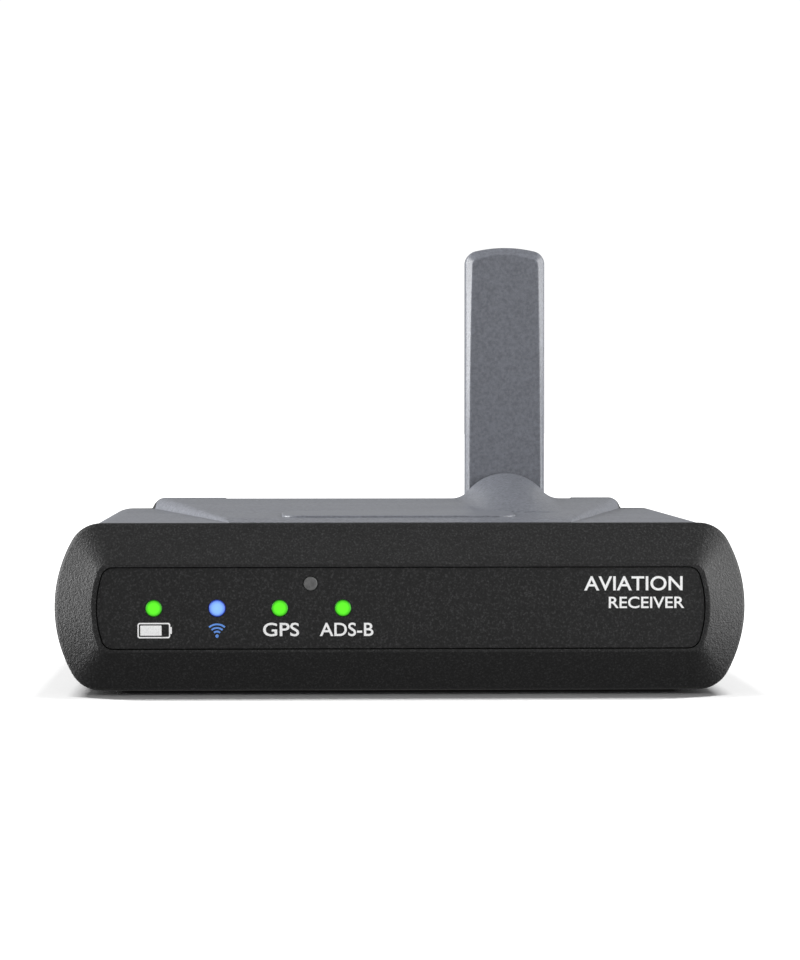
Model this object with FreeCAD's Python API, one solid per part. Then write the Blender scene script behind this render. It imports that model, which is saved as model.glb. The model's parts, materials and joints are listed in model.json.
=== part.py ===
import FreeCAD, Part
import math
import os

# Portable aviation receiver with a folding blade antenna, in millimetres. +Z is up and the front looks towards -Y.
# The origin lies on the surface that the receiver stands on, below the middle of its case.

# Case
CASE_W = 124.6
CASE_H = 30.2
CASE_D = 92.0
FOOT_H = 0.8  # the feet hold the case this far off the table
END_BULGE = 8.4  # how far each end bulges past the flat top
CORNER_R = 6.0
SHOULDER_BULGE = 9.6  # the same behind the bezel, whose shoulders fall away sooner
WALL = 1.8
SEAM = 0.12
FRONT = -CASE_D / 2
BACK = CASE_D / 2
MID_Z = FOOT_H + CASE_H / 2
TOP_Z = FOOT_H + CASE_H
SPLIT_Z = 18.0  # the joint between the top cover and the bottom case

# Front bezel: a flat land round the panel, then a flat bevel out to the rim
BEVEL_D = 4.2
BEZEL_D = 5.2
BEZEL_RIM_R = 1.0
LAND_HALF_W, LAND_HALF_H, LAND_BULGE, LAND_R = 55.4, 7.9, 3.3, 2.4
PANEL_HALF_W, PANEL_HALF_H, PANEL_BULGE, PANEL_R = 54.5, 7.3, 3.0, 2.2
PANEL_INSET = 0.25
PANEL_GAP = 0.1
PANEL_T = 1.85
SPIGOT_T = 1.2
SPIGOT_L = 3.0
PLUG_GAP = 0.1  # clearance of a spigot inside the case's wall
LIP_T, LIP_HALF_L = 0.8, 33.0
COVER_FRONT = FRONT + BEZEL_D + SEAM

# Indicators on the front panel
LAMP_R = 1.5
LAMP_Z = MID_Z
LAMP_X = {"lens_battery": -44.3, "lens_link": -33.0, "lens_gps": -21.8, "lens_traffic": -10.5}
SENSOR_X, SENSOR_Z, SENSOR_R = -16.3, MID_Z + 4.4, 1.32

# Raised deck of the top cover: it rolls up from the front edge, then widens and climbs towards the back
DECK_DEPTH = 89.0
DECK_FRONT_HALF_W, DECK_BACK_HALF_W = 29.7, 48.25
DECK_START, DECK_ROLL = 5.6, 8.0  # depth of its front edge, and the length of the roll
DECK_RISE, DECK_SLOPE = 0.45, 0.0208
DECK_LEAST_H = 0.05
DECK_WALL_LEAN, DECK_WALL_SHARE = 0.14, 0.5  # the wall's run and rise, as shares of the deck's height
NAMEPLATE_HALF_W, NAMEPLATE_R = 21.6, 3.8
NAMEPLATE_Y0, NAMEPLATE_Y1 = FRONT + 12.6, FRONT + 28.6
NAMEPLATE_SINK, NAMEPLATE_T, NAMEPLATE_EDGE_R = 0.3, 0.65, 0.3

# Rear cover
REAR_D = 4.4
REAR_FRONT = BACK - REAR_D
COVER_BACK = REAR_FRONT - SEAM
REAR_WALL = 2.0
REAR_EDGE_R = 1.4

# Antenna: a flat blade that turns about a spindle along Y and folds down into a channel in the back of the case
PIVOT_X, PIVOT_Z = 24.15, 28.4
BLADE_HALF_W = 8.15
BLADE_TIP_Z = 84.7
BLADE_FRONT, BLADE_BACK = BACK - 7.5, BACK - 0.9
BLADE_WALL = 1.3
BLADE_EDGE_ROOT, BLADE_EDGE_MIDDLE, BLADE_EDGE_TIP = 0.74, 0.9, 1.42  # widths of the bevel along the blade
BLADE_EDGE_D = 1.2
BLADE_EDGE_R, BLADE_FACE_R = 1.0, 0.4  # roundings on the outer and the inner side of the bevel
BLADE_TIP_RISE = 1.3
BLADE_CORNER_R, BLADE_LEAST_R = 2.7, 0.8
CHANNEL_X0, CHANNEL_X1 = -33.3, 38.0
CHANNEL_Y0 = BACK - 8.0
CHANNEL_Z = 19.8
HUMP_R = 9.95  # the housing over the hinge, round about the pivot at its back end
HUMP_NOSE_DEPTH = 30.0
HUMP_NOSE_HALF_W = 7.2
HUMP_FOOT_R = 4.5
HUMP_CAVITY_R = 6.8
HUMP_CAVITY_Y = BACK - 17.5

# Hinge, from the blade towards the front
SPINDLE_R, SPINDLE_BORE_R, SPINDLE_NECK_R = 3.0, 1.1, 2.4
SPINDLE_SHOULDER_Y, SPINDLE_END_Y = BACK - 13.1, BACK - 17.1
RUNNING_GAP = 0.06
BUSH_R = 4.0
BRACKET_T = 1.2
STOP_RING_R, STOP_RING_T = 6.2, 1.1
STOP_PIN_R, STOP_PIN_AT = 0.7, 5.0
STOP_PIN_ANGLE = 270
FOLD_ANGLE = 90

# Inside
BOARD_Z, BOARD_T = 6.8, 1.2
BOARD_TOP = BOARD_Z + BOARD_T
FLOOR_Z = FOOT_H + WALL
CEILING_Z = TOP_Z - WALL
POST_X, POST_Y, POST_R = 50.0, 27.0, 3.2
SCREW_R, SCREW_HEAD_R = 1.0, 2.1
BATTERY_X0, BATTERY_X1, BATTERY_Y0, BATTERY_Y1 = -46.0, -6.0, -22.0, 16.0
BATTERY_H = 11.0
BAY_WALL = 1.2
DOOR_MARGIN = 1.0

# Rear connectors and power button
USB_X, USB_HALF_W, USB_H = 24.0, 3.8, 2.9
JACK_X = {"gps_jack": -16.0, "receiver_jack": -33.0}
JACK_Z = BOARD_TOP + 3.2
JACK_BARREL_R, JACK_BORE_R, JACK_BORE_L = 2.9, 1.75, 3.4
JACK_FACE_Y = BACK - 0.5
BUTTON_X, BUTTON_Z, BUTTON_R = 43.0, JACK_Z, 3.3
BUTTON_TRAVEL = 0.5
BUTTON_PROUD = 0.45


def box(x0, x1, y0, y1, z0, z1):
    return Part.makeBox(x1 - x0, y1 - y0, z1 - z0, FreeCAD.Vector(x0, y0, z0))


def rod_y(x, z, radius, y0, y1):
    """A cylinder along Y."""
    return Part.makeCylinder(radius, y1 - y0, FreeCAD.Vector(x, y0, z), FreeCAD.Vector(0, 1, 0))


def rod_z(x, y, radius, z0, z1):
    """A cylinder along Z."""
    return Part.makeCylinder(radius, z1 - z0, FreeCAD.Vector(x, y, z0), FreeCAD.Vector(0, 0, 1))


def rounded_box(x0, x1, y0, y1, z0, z1, radius, axis="z"):
    """A box with its four edges along one axis rounded."""
    solid = box(x0, x1, y0, y1, z0, z1)
    return solid.makeFillet(radius, edges_along(solid, axis))


def edges_along(solid, axis):
    """The straight edges of a box that run along one axis."""
    spans = {"x": "XLength", "y": "YLength", "z": "ZLength"}
    others = [spans[a] for a in spans if a != axis]
    return [e for e in solid.Edges if all(getattr(e.BoundBox, s) < 1e-6 for s in others)]


def edges_at_y(solid, y):
    """The edges that lie wholly in the plane at y."""
    return [e for e in solid.Edges if abs(e.BoundBox.YMin - y) < 1e-4 and abs(e.BoundBox.YMax - y) < 1e-4]


def join(*solids):
    """One solid from several that touch or overlap."""
    whole = solids[0].fuse(list(solids[1:]))
    return whole.removeSplitter()


def group(solids):
    """Several separate solids as one shape."""
    return Part.makeCompound(solids)


def prism(wire, length):
    """A closed wire in a plane across Y, drawn out along +Y."""
    return Part.Face(wire).extrude(FreeCAD.Vector(0, length, 0))


def outline(half_w, half_h, bulge, corner_r, y):
    """A closed wire with flat top and bottom, and ends that bulge out between two tighter corners."""
    flat = half_w - bulge
    rise = half_h - corner_r
    end_r = (bulge**2 + rise**2 - corner_r**2) / (2 * (bulge - corner_r))
    end_x = half_w - end_r
    turn = math.atan2(rise, flat - end_x)
    join_x, join_z = end_x + end_r * math.cos(turn), end_r * math.sin(turn)
    halfway = (turn + math.pi / 2) / 2
    mid_x, mid_z = flat + corner_r * math.cos(halfway), rise + corner_r * math.sin(halfway)

    def at(x, z):
        return FreeCAD.Vector(x, y, MID_Z + z)

    edges = [Part.LineSegment(at(-flat, half_h), at(flat, half_h))]
    edges.append(Part.Arc(at(flat, half_h), at(mid_x, mid_z), at(join_x, join_z)))
    edges.append(Part.Arc(at(join_x, join_z), at(half_w, 0), at(join_x, -join_z)))
    edges.append(Part.Arc(at(join_x, -join_z), at(mid_x, -mid_z), at(flat, -half_h)))
    edges.append(Part.LineSegment(at(flat, -half_h), at(-flat, -half_h)))
    edges.append(Part.Arc(at(-flat, -half_h), at(-mid_x, -mid_z), at(-join_x, -join_z)))
    edges.append(Part.Arc(at(-join_x, -join_z), at(-half_w, 0), at(-join_x, join_z)))
    edges.append(Part.Arc(at(-join_x, join_z), at(-mid_x, mid_z), at(-flat, half_h)))
    return Part.Wire([e.toShape() for e in edges])


def case_outline(inset, y):
    """The case's outline, moved in by the same distance all round."""
    return outline(CASE_W / 2 - inset, CASE_H / 2 - inset, END_BULGE - inset, CORNER_R - inset, y)


def case_prism(inset, y0, y1):
    return prism(case_outline(inset, y0), y1 - y0)


def body_block(y0, y1):
    """A block of the case behind the bezel."""
    low = case_prism(0, y0, y1).common(box(-CASE_W, CASE_W, y0, y1, 0, MID_Z))
    shoulders = outline(CASE_W / 2, CASE_H / 2, SHOULDER_BULGE, CORNER_R, y0)
    high = prism(shoulders, y1 - y0).common(box(-CASE_W, CASE_W, y0, y1, MID_Z, TOP_Z))
    return join(low, high)


def panel_outline(gap, y):
    return outline(PANEL_HALF_W + gap, PANEL_HALF_H + gap, PANEL_BULGE + gap, PANEL_R + gap, y)


def spigot(y0, y1):
    """The ring that plugs into the case's wall."""
    outer = WALL + PLUG_GAP
    return case_prism(outer, y0, y1).cut(case_prism(outer + SPIGOT_T, y0 - 1, y1 + 1))


# ---- Front ----


def front_bezel():
    rim_y = FRONT + BEVEL_D
    land = outline(LAND_HALF_W, LAND_HALF_H, LAND_BULGE, LAND_R, FRONT)
    bevel = Part.makeLoft([land, case_outline(0, rim_y)], True, True)
    body = bevel.fuse(case_prism(0, rim_y, FRONT + BEZEL_D))
    body = body.makeFillet(BEZEL_RIM_R, edges_at_y(body, rim_y))
    body = body.makeFillet(0.3, edges_at_y(body, FRONT))
    ledge_y = FRONT + PANEL_INSET + PANEL_T
    cavity_y = ledge_y + 1.1
    back_y = FRONT + BEZEL_D + SPIGOT_L
    body = body.cut(prism(panel_outline(PANEL_GAP, FRONT - 1), ledge_y - FRONT + 1))
    body = body.cut(rounded_box(-52.4, 52.4, FRONT, cavity_y + 1, MID_Z - 6.3, MID_Z + 6.3, 2.0, "y"))
    body = body.cut(case_prism(WALL + PLUG_GAP + SPIGOT_T, cavity_y, back_y))
    body = body.fuse(spigot(FRONT + BEZEL_D - 0.5, back_y))
    posts = [rod_y(x, LED_POST_Z, 1.9, cavity_y - 0.2, LED_BOARD_Y) for x in LED_POST_X]
    body = body.fuse(posts)
    for x in LED_POST_X:
        body = body.cut(rod_y(x, LED_POST_Z, 0.75, LED_BOARD_Y - 2.4, LED_BOARD_Y + 1))
    return body.removeSplitter()


def front_panel():
    face_y = FRONT + PANEL_INSET
    plate = prism(panel_outline(0, face_y), PANEL_T)
    plate = plate.makeFillet(0.18, edges_at_y(plate, face_y))
    for x in LAMP_X.values():
        plate = plate.cut(rod_y(x, LAMP_Z, LAMP_R + 0.06, face_y - 1, face_y + PANEL_T + 1))
    return plate.cut(rod_y(SENSOR_X, SENSOR_Z, SENSOR_R + 0.06, face_y - 1, face_y + PANEL_T + 1))


LED_BOARD_Y = FRONT + 6.5
LED_BOARD_T = 1.0
LED_POST_X = (-48.0, 5.0)
LED_POST_Z = MID_Z + 8.4


def lens(x, z, radius, proud):
    """A light pipe: a low dome in the panel, a collar behind it and a stem to the lamp."""
    face_y = FRONT + PANEL_INSET
    back_y = face_y + PANEL_T
    dome = rod_y(x, z, radius, face_y - proud, back_y)
    dome = dome.makeFillet(0.3, edges_at_y(dome, face_y - proud))
    collar = rod_y(x, z, radius + 0.6, back_y, back_y + 0.8)
    stem = rod_y(x, z, radius - 0.2, back_y + 0.8, LED_BOARD_Y - 1.5)
    return join(dome, collar, stem)


def led_board():
    board = box(-51.0, 8.0, LED_BOARD_Y, LED_BOARD_Y + LED_BOARD_T, 10.0, MID_Z + 10.6)
    for x in LED_POST_X:
        board = board.cut(rod_y(x, LED_POST_Z, 0.9, LED_BOARD_Y - 1, LED_BOARD_Y + 2))
    return board


def status_leds():
    lamps = []
    for x, z in [(x, LAMP_Z) for x in LAMP_X.values()] + [(SENSOR_X, SENSOR_Z)]:
        base = box(x - 1.6, x + 1.6, LED_BOARD_Y - 0.6, LED_BOARD_Y, z - 1.1, z + 1.1)
        lamps.append(join(base, rod_y(x, z, 0.8, LED_BOARD_Y - 1.3, LED_BOARD_Y - 0.6)))
    return group(lamps)


def led_board_screws():
    back = LED_BOARD_Y + LED_BOARD_T
    heads = []
    for x in LED_POST_X:
        head = rod_y(x, LED_POST_Z, 1.5, back, back + 0.9).cut(rod_y(x, LED_POST_Z, 0.6, back + 0.4, back + 2))
        heads.append(join(head, rod_y(x, LED_POST_Z, 0.7, LED_BOARD_Y - 2.2, back)))
    return group(heads)


def led_flex():
    """A flat ribbon from the lamp board down to the main board, bent once."""
    y, z, turn_r = LED_BOARD_Y + LED_BOARD_T, BOARD_TOP + 1.0, 2.0
    half = 0.1
    width = 5.0
    low = FreeCAD.Vector(2.0, y + half, z + 5.0)
    bend_in = FreeCAD.Vector(2.0, y + half, z + turn_r)
    corner = turn_r * (1 - math.sqrt(0.5))
    bend_mid = FreeCAD.Vector(2.0, y + half + corner, z + corner)
    bend_out = FreeCAD.Vector(2.0, y + half + turn_r, z)
    end = FreeCAD.Vector(2.0, MAIN_BOARD_Y0 + 5.0, z)
    path = Part.Wire([Part.makeLine(low, bend_in), Part.Arc(bend_in, bend_mid, bend_out).toShape(),
                      Part.makeLine(bend_out, end)])
    section = Part.makePolygon([low + FreeCAD.Vector(dx, dy, 0) for dx, dy in
                                ((0, -half), (width, -half), (width, half), (0, half), (0, -half))])
    return path.makePipeShell([section], True, True)


# ---- Top cover ----


def deck_height(depth):
    """How far the deck stands above the shoulders, at this depth behind the front."""
    left_to_roll = max(0, 1 - (depth - DECK_START) / DECK_ROLL)
    return max(DECK_LEAST_H, (DECK_RISE + DECK_SLOPE * depth) * (1 - left_to_roll**2))


def deck_section(depth, share=1.0):
    """Across the deck: leaning walls, rounded upper edges and a flat top, at a share of its full height."""
    y = FRONT + depth
    half_w = DECK_FRONT_HALF_W + (DECK_BACK_HALF_W - DECK_FRONT_HALF_W) * depth / DECK_DEPTH
    full = deck_height(depth)
    height = full * share
    wall_x, wall_z = half_w - DECK_WALL_LEAN * full, DECK_WALL_SHARE * height
    top_x = half_w - full
    reach, drop = wall_x - top_x, height - wall_z
    round_r = (reach**2 + drop**2) / (2 * drop)
    halfway = (math.atan2(round_r - drop, reach) + math.pi / 2) / 2
    mid_x, mid_z = top_x + round_r * math.cos(halfway), height - round_r + round_r * math.sin(halfway)

    def at(x, z):
        return FreeCAD.Vector(x, y, TOP_Z + z)

    edges = [Part.LineSegment(at(-top_x, height), at(top_x, height))]
    edges.append(Part.Arc(at(top_x, height), at(mid_x, mid_z), at(wall_x, wall_z)))
    edges.append(Part.LineSegment(at(wall_x, wall_z), at(half_w, 0)))
    edges.append(Part.LineSegment(at(half_w, 0), at(half_w, -1)))
    edges.append(Part.LineSegment(at(half_w, -1), at(-half_w, -1)))
    edges.append(Part.LineSegment(at(-half_w, -1), at(-half_w, 0)))
    edges.append(Part.LineSegment(at(-half_w, 0), at(-wall_x, wall_z)))
    edges.append(Part.Arc(at(-wall_x, wall_z), at(-mid_x, mid_z), at(-top_x, height)))
    return Part.Wire([e.toShape() for e in edges])


def hump_section(depth):
    """Across the hinge housing: an arch that runs out into the deck through a hollow on each side."""
    back = CHANNEL_Y0 - FRONT
    share = (depth - HUMP_NOSE_DEPTH) / (back - HUMP_NOSE_DEPTH)
    deck_z = TOP_Z + deck_height(depth)
    top_back = PIVOT_Z + HUMP_R - TOP_Z - deck_height(back)
    half_back = math.sqrt(HUMP_R**2 - (HUMP_R - top_back) ** 2)
    height = 0.08 + share * (top_back - 0.08)
    half_w = HUMP_NOSE_HALF_W + share * (half_back - HUMP_NOSE_HALF_W)
    arch_r = (half_w**2 + height**2) / (2 * height)
    centre = height - arch_r
    reach = arch_r + HUMP_FOOT_R
    foot = math.sqrt(reach**2 - (HUMP_FOOT_R - centre) ** 2)
    touch_x = foot * arch_r / reach
    touch_z = centre + (HUMP_FOOT_R - centre) * arch_r / reach
    lean = math.atan2(foot - touch_x, HUMP_FOOT_R - touch_z) / 2
    hollow_x = foot - HUMP_FOOT_R * math.sin(lean)
    hollow_z = HUMP_FOOT_R - HUMP_FOOT_R * math.cos(lean)

    def at(x, z):
        return FreeCAD.Vector(PIVOT_X + x, FRONT + depth, deck_z + z)

    edges = [Part.Arc(at(-touch_x, touch_z), at(0, height), at(touch_x, touch_z))]
    edges.append(Part.Arc(at(touch_x, touch_z), at(hollow_x, hollow_z), at(foot, 0)))
    edges.append(Part.LineSegment(at(foot, 0), at(foot, -1)))
    edges.append(Part.LineSegment(at(foot, -1), at(-foot, -1)))
    edges.append(Part.LineSegment(at(-foot, -1), at(-foot, 0)))
    edges.append(Part.Arc(at(-foot, 0), at(-hollow_x, hollow_z), at(-touch_x, touch_z)))
    return Part.Wire([e.toShape() for e in edges])


def cover_outside():
    """The top cover as a solid block: half the case's outline, the deck and the hinge housing."""
    base = body_block(COVER_FRONT, COVER_BACK)
    base = base.makeFillet(0.4, edges_at_y(base, COVER_FRONT))
    base = base.cut(box(-CASE_W, CASE_W, FRONT, BACK, 0, SPLIT_Z))
    roll_end = DECK_START + DECK_ROLL
    roll = Part.makeLoft([deck_section(DECK_START + DECK_ROLL * t) for t in (0, 0.1, 0.25, 0.5, 0.75, 1)], True)
    deck = Part.makeLoft([deck_section(roll_end), deck_section(COVER_BACK - FRONT)], True, True)
    hump_depths = [HUMP_NOSE_DEPTH, 44, 58, 71, CHANNEL_Y0 - FRONT]
    hump = Part.makeLoft([hump_section(d) for d in hump_depths], True)
    return base.fuse(roll).fuse(deck).fuse(hump)


def top_cover():
    outside = cover_outside()
    shell = outside.cut(case_prism(WALL, COVER_FRONT - 1, COVER_BACK + 1))
    high = BLADE_TIP_Z
    walls = box(CHANNEL_X0 - WALL, CHANNEL_X1 + WALL, CHANNEL_Y0 - WALL, COVER_BACK, SPLIT_Z, high)
    shell = shell.fuse(walls.common(outside))
    channel = box(CHANNEL_X0, CHANNEL_X1, CHANNEL_Y0, COVER_BACK + 1, CHANNEL_Z, high)
    shell = shell.cut(channel)
    shell = shell.cut(rod_y(PIVOT_X, PIVOT_Z, HUMP_CAVITY_R, HUMP_CAVITY_Y, CHANNEL_Y0 - WALL))
    shell = shell.cut(rod_y(PIVOT_X, PIVOT_Z, BUSH_R + 0.05, CHANNEL_Y0 - 3, CHANNEL_Y0 + 1))
    for x in (-POST_X, POST_X):
        for y in (-POST_Y, POST_Y):
            shell = shell.fuse(rod_z(x, y, POST_R - 0.2, SPLIT_Z, CEILING_Z + 0.4))
            shell = shell.cut(rod_z(x, y, SCREW_R + 0.05, SPLIT_Z - 1, SPLIT_Z + 8))
    for x, y in GPS_POSTS:
        shell = shell.fuse(rod_z(x, y, 1.9, GPS_BOARD_Z + GPS_BOARD_T, CEILING_Z + 0.4))
        shell = shell.cut(rod_z(x, y, 0.75, GPS_BOARD_Z - 1, CEILING_Z + 0.2))
    for x, z in BRACKET_SCREWS:
        shell = shell.cut(rod_y(x, z, 0.75, CHANNEL_Y0 - WALL - 1, CHANNEL_Y0 - 0.3))
    return shell.cut(nameplate_block(0, 3.0, 0)).removeSplitter()


def nameplate_block(inset, height, edge_r):
    """A rounded slab that follows the deck's slope and stands in its shallow pocket."""
    y0, y1 = NAMEPLATE_Y0 + inset, NAMEPLATE_Y1 - inset
    half_w = NAMEPLATE_HALF_W - inset
    middle = (y0 + y1) / 2
    level = TOP_Z + deck_height(middle - FRONT)
    low, high = level - NAMEPLATE_SINK, level - NAMEPLATE_SINK + height
    slab = rounded_box(-half_w, half_w, y0, y1, low, high, NAMEPLATE_R - inset)
    if edge_r:
        slab = slab.makeFillet(edge_r, [e for e in slab.Edges if e.BoundBox.ZMin > high - 1e-6])
    tilt = math.degrees(math.atan(DECK_SLOPE))
    slab.rotate(FreeCAD.Vector(0, middle, level), FreeCAD.Vector(1, 0, 0), tilt)
    return slab


def top_nameplate():
    return nameplate_block(0.05, NAMEPLATE_T, NAMEPLATE_EDGE_R)


# ---- Bottom case ----


DOOR_X0, DOOR_X1 = BATTERY_X0 - DOOR_MARGIN, BATTERY_X1 + DOOR_MARGIN
DOOR_Y0, DOOR_Y1 = BATTERY_Y0 - DOOR_MARGIN, BATTERY_Y1 + DOOR_MARGIN
DOOR_SCREWS = ((DOOR_X1 + 2.6, DOOR_Y0 + 8.0), (DOOR_X1 + 2.6, DOOR_Y1 - 8.0))
DOOR_SCREW_R = 1.0
FOOT_X, FOOT_W, FOOT_SINK = 51.3, 6.0, 0.6
FOOT_Y = (FRONT + 7.7, BACK - 13.1)
MAIN_BOARD_Y0, MAIN_BOARD_Y1 = FRONT + 13.5, BACK - 7.9
BOARD_SCREWS = ((11.5, MAIN_BOARD_Y0 + 4.0), (53.0, -12.0), (8.0, 24.0), (-47.0, MAIN_BOARD_Y1 - 2.6))


def bottom_case():
    rim_z = SPLIT_Z - SEAM
    base = case_prism(0, COVER_FRONT, COVER_BACK)
    base = base.makeFillet(0.4, edges_at_y(base, COVER_FRONT))
    base = base.cut(case_prism(WALL, COVER_FRONT - 1, COVER_BACK + 1))
    base = base.cut(box(-CASE_W, CASE_W, FRONT, BACK, rim_z, TOP_Z + 1))
    base = base.fuse(rim_lip(rim_z))
    base = base.fuse(rib_frame())
    for x in (-POST_X, POST_X):
        for y in (-POST_Y, POST_Y):
            base = base.fuse(rod_z(x, y, POST_R, FLOOR_Z - 0.5, rim_z - 0.1))
            base = base.cut(rod_z(x, y, SCREW_HEAD_R + 0.3, FOOT_H - 1, SCREW_HEAD_Z + 0.01))
            base = base.cut(rod_z(x, y, SCREW_R + 0.2, FOOT_H, rim_z + 1))
    for x, y in BOARD_SCREWS:
        base = base.fuse(rod_z(x, y, 2.2, FLOOR_Z - 0.5, BOARD_Z))
        base = base.cut(rod_z(x, y, 0.75, FLOOR_Z + 0.3, BOARD_Z + 1))
    door = box(DOOR_X0, DOOR_X1, DOOR_Y0, DOOR_Y1, FOOT_H - 1, FLOOR_Z + 0.01)
    base = base.cut(door)
    tongue = box(DOOR_X1, DOOR_X1 + 5.4, DOOR_Y0 + 4, DOOR_Y1 - 4, FOOT_H - 1, FOOT_H + 0.9)
    base = base.cut(tongue)
    for x, y in DOOR_SCREWS:
        base = base.fuse(rod_z(x, y, 2.2, FLOOR_Z - 0.5, BOARD_Z - 0.4))
        base = base.cut(rod_z(x, y, DOOR_SCREW_R + 0.05, FOOT_H, BOARD_Z - 1.2))
    for y in FOOT_Y:
        base = base.cut(foot_pad(y, FOOT_H - 1, FOOT_H + FOOT_SINK, 0.1))
    return base.removeSplitter()


def rim_lip(rim_z):
    """A lip along each end wall that rises inside the top cover and lines the two halves up."""
    inside = case_prism(WALL + PLUG_GAP + LIP_T, -LIP_HALF_L - 1, LIP_HALF_L + 1)
    root = case_prism(WALL - 0.2, -LIP_HALF_L, LIP_HALF_L).cut(inside)
    root = root.common(box(-CASE_W, CASE_W, FRONT, BACK, rim_z - 2.5, rim_z - 0.5))
    lip = case_prism(WALL + PLUG_GAP, -LIP_HALF_L, LIP_HALF_L).cut(inside)
    return root.fuse(lip.common(box(-CASE_W, CASE_W, FRONT, BACK, rim_z - 1.0, rim_z + 1.3)))


def rib_frame():
    """The walls round the battery bay, with a gap where its lead leaves."""
    x0, x1 = BATTERY_X0 - DOOR_MARGIN - BAY_WALL, BATTERY_X1 + DOOR_MARGIN + BAY_WALL
    y0, y1 = BATTERY_Y0 - DOOR_MARGIN - BAY_WALL, BATTERY_Y1 + DOOR_MARGIN + BAY_WALL
    outer = box(x0, x1, y0, y1, FLOOR_Z - 0.5, FLOOR_Z + 10.0)
    inner = box(x0 + BAY_WALL, x1 - BAY_WALL, y0 + BAY_WALL, y1 - BAY_WALL, 0, TOP_Z)
    gap = box(x1 - BAY_WALL - 1, x1 + 1, 6.0, 12.0, FLOOR_Z + 1.0, TOP_Z)
    tongue = box(x1 - BAY_WALL - 1, x1 + 1, y0, y1, 0, FLOOR_Z - 0.4)
    return outer.cut(inner).cut(gap).cut(tongue)


def foot_pad(y, z0, z1, grow):
    """One long foot, rounded at its corners. Grown a little, it is the pocket that the foot sits in."""
    radius = 2.0 + grow
    return rounded_box(-FOOT_X - grow, FOOT_X + grow, y - grow, y + FOOT_W + grow, z0, z1, radius)


def rubber_foot(y):
    pad = foot_pad(y, 0, FOOT_H + FOOT_SINK, 0)
    under = [e for e in pad.Edges if e.BoundBox.ZMax < 1e-6]
    return pad.makeFillet(0.3, under)


def battery_door():
    gap = 0.15
    plate = rounded_box(DOOR_X0 + gap, DOOR_X1 - gap, DOOR_Y0 + gap, DOOR_Y1 - gap, FOOT_H, FLOOR_Z - 0.2, 0.8)
    tongue = box(DOOR_X1 - 1, DOOR_X1 + 5.2, DOOR_Y0 + 4 + gap, DOOR_Y1 - 4 - gap, FOOT_H, FOOT_H + 0.85)
    door = plate.fuse(tongue)
    for x, y in DOOR_SCREWS:
        door = door.cut(rod_z(x, y, DOOR_SCREW_R + 0.2, FOOT_H - 1, FOOT_H + 2))
    for i in range(5):
        y = (DOOR_Y0 + DOOR_Y1) / 2 + 2.4 * (i - 2)
        door = door.cut(rounded_box(DOOR_X0 + 5, DOOR_X0 + 15, y - 0.6, y + 0.6, FOOT_H - 1, FOOT_H + 0.4, 0.59))
    return door.removeSplitter()


def door_screws():
    """Low screws whose heads stay within the feet's height."""
    made = []
    for x, y in DOOR_SCREWS:
        head = rod_z(x, y, 2.0, FOOT_H - 0.6, FOOT_H)
        slot = box(x - 2.1, x + 2.1, y - 0.3, y + 0.3, FOOT_H - 1, FOOT_H - 0.25)
        made.append(join(head.cut(slot), rod_z(x, y, DOOR_SCREW_R, FOOT_H, BOARD_Z - 1.4)))
    return group(made)


SCREW_HEAD_Z = 6.0


def socket_star(x, y, z0, z1):
    """The six-lobed drive of a screw head."""
    lobes = [rod_z(x + 0.55 * math.cos(math.radians(60 * i)), y + 0.55 * math.sin(math.radians(60 * i)),
                   0.35, z0, z1) for i in range(6)]
    return rod_z(x, y, 0.6, z0, z1).fuse(lobes)


def case_screws():
    """Four screws that go up through the bottom case into the top cover."""
    made = []
    for x in (-POST_X, POST_X):
        for y in (-POST_Y, POST_Y):
            head = rod_z(x, y, SCREW_HEAD_R, SCREW_HEAD_Z - 1.6, SCREW_HEAD_Z)
            head = head.cut(socket_star(x, y, SCREW_HEAD_Z - 2, SCREW_HEAD_Z - 0.7))
            made.append(join(head, rod_z(x, y, SCREW_R, SCREW_HEAD_Z, SPLIT_Z + 7)))
    return group(made)


# ---- Rear cover, connectors and button ----


REAR_INSIDE_Y = BACK - REAR_WALL
REAR_PANEL_SINK = 0.5


def rear_cover():
    outside = body_block(REAR_FRONT, BACK)
    outside = outside.makeFillet(REAR_EDGE_R, edges_at_y(outside, BACK))
    steps = ((REAR_FRONT - FRONT, 1.0), (CASE_D - 3.0, 0.93), (CASE_D - 1.9, 0.72), (CASE_D - 1.0, 0.35))
    outside = outside.fuse(Part.makeLoft([deck_section(depth, share) for depth, share in steps], True))
    shell = outside.cut(case_prism(WALL + 0.2, REAR_FRONT - 1, REAR_INSIDE_Y))
    block = box(CHANNEL_X0 - WALL, CHANNEL_X1 + WALL, REAR_FRONT, BACK, SPLIT_Z, TOP_Z + 1)
    shell = shell.fuse(block.common(outside))
    low = box(-CASE_W, CASE_W, FRONT, BACK, 0, SPLIT_Z - 2.0)
    shell = shell.fuse(spigot(REAR_FRONT - SPIGOT_L, REAR_INSIDE_Y + 0.1).common(low))
    shell = shell.cut(box(CHANNEL_X0, CHANNEL_X1, REAR_FRONT - 1, BACK + 1, CHANNEL_Z, BLADE_TIP_Z))
    sunk = rounded_box(-50, 52, BACK - REAR_PANEL_SINK, BACK + 1, JACK_Z - 5.4, JACK_Z + 5.4, 3.0, "y")
    shell = shell.cut(sunk)
    usb = rounded_box(USB_X - 4.6, USB_X + 4.6, REAR_FRONT, BACK + 1, USB_Z - 2.2, USB_Z + 2.2, 1.2, "y")
    shell = shell.cut(usb)
    for x in JACK_X.values():
        shell = shell.cut(rod_y(x, JACK_Z, JACK_BARREL_R + 0.15, REAR_FRONT, BACK + 1))
    shell = shell.cut(rod_y(BUTTON_X, BUTTON_Z, BUTTON_R + 0.1, REAR_FRONT, BACK + 1))
    return shell.removeSplitter()


USB_Z = BOARD_TOP + USB_H / 2


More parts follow.
